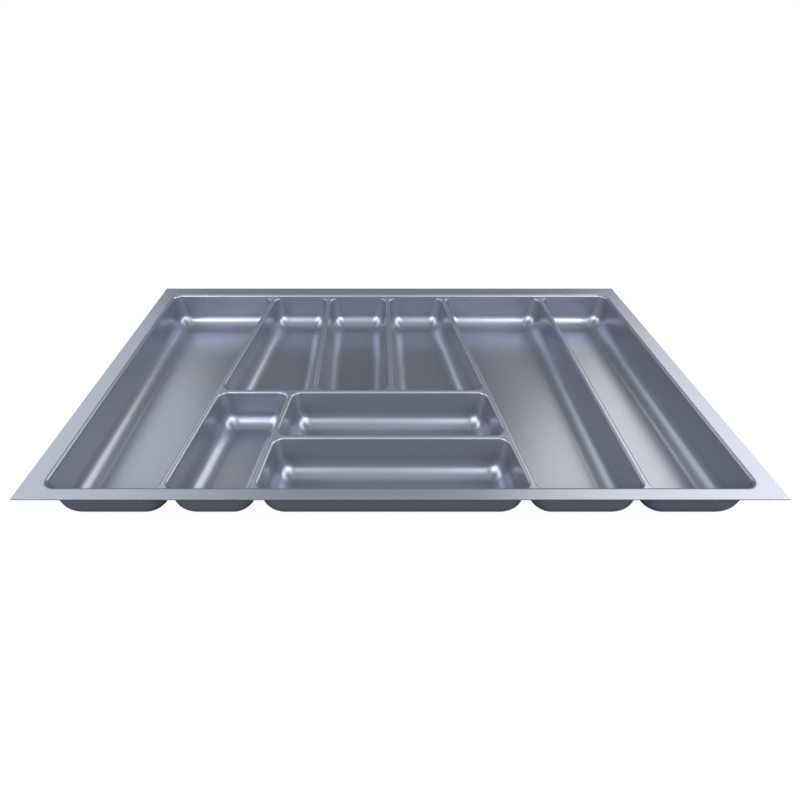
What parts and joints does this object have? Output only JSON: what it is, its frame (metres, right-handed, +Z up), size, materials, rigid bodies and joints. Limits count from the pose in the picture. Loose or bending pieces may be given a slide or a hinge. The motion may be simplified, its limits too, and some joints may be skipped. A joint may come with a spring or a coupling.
{
  "type": "cutlery tray",
  "caption": "Shallow formed plastic drawer insert with a flat flange and slanting dividers that part long, short and wide rounded compartments for cutlery and kitchen tools.",
  "frame": {"origin": "middle of the tray seen from above, on the plane of the undersides of the floors", "axes": "+X along the tray's width towards its right side as seen from the front, +Y from the front edge to the back edge, +Z up out of the compartments"},
  "size_m": [0.82, 0.49, 0.059],
  "materials": {
    "tray_plastic": "satin silver grey, fine grained"
  },
  "bodies": {
    "root": {"rim_front": "tray_plastic", "rim_right": "tray_plastic", "rim_back": "tray_plastic", "rim_left": "tray_plastic", "divider_left": "tray_plastic", "divider_right": "tray_plastic", "divider_far_right": "tray_plastic", "divider_cross_back": "tray_plastic", "divider_inner_left": "tray_plastic", "divider_inner_right": "tray_plastic", "divider_small_front": "tray_plastic", "divider_cross_front": "tray_plastic", "compartment_left": "tray_plastic", "compartment_inner_left": "tray_plastic", "compartment_inner_middle": "tray_plastic", "compartment_inner_right": "tray_plastic", "compartment_small_front": "tray_plastic", "compartment_wide_middle": "tray_plastic", "compartment_wide_front": "tray_plastic", "compartment_right": "tray_plastic", "compartment_far_right": "tray_plastic"}
  },
  "joints": []
}
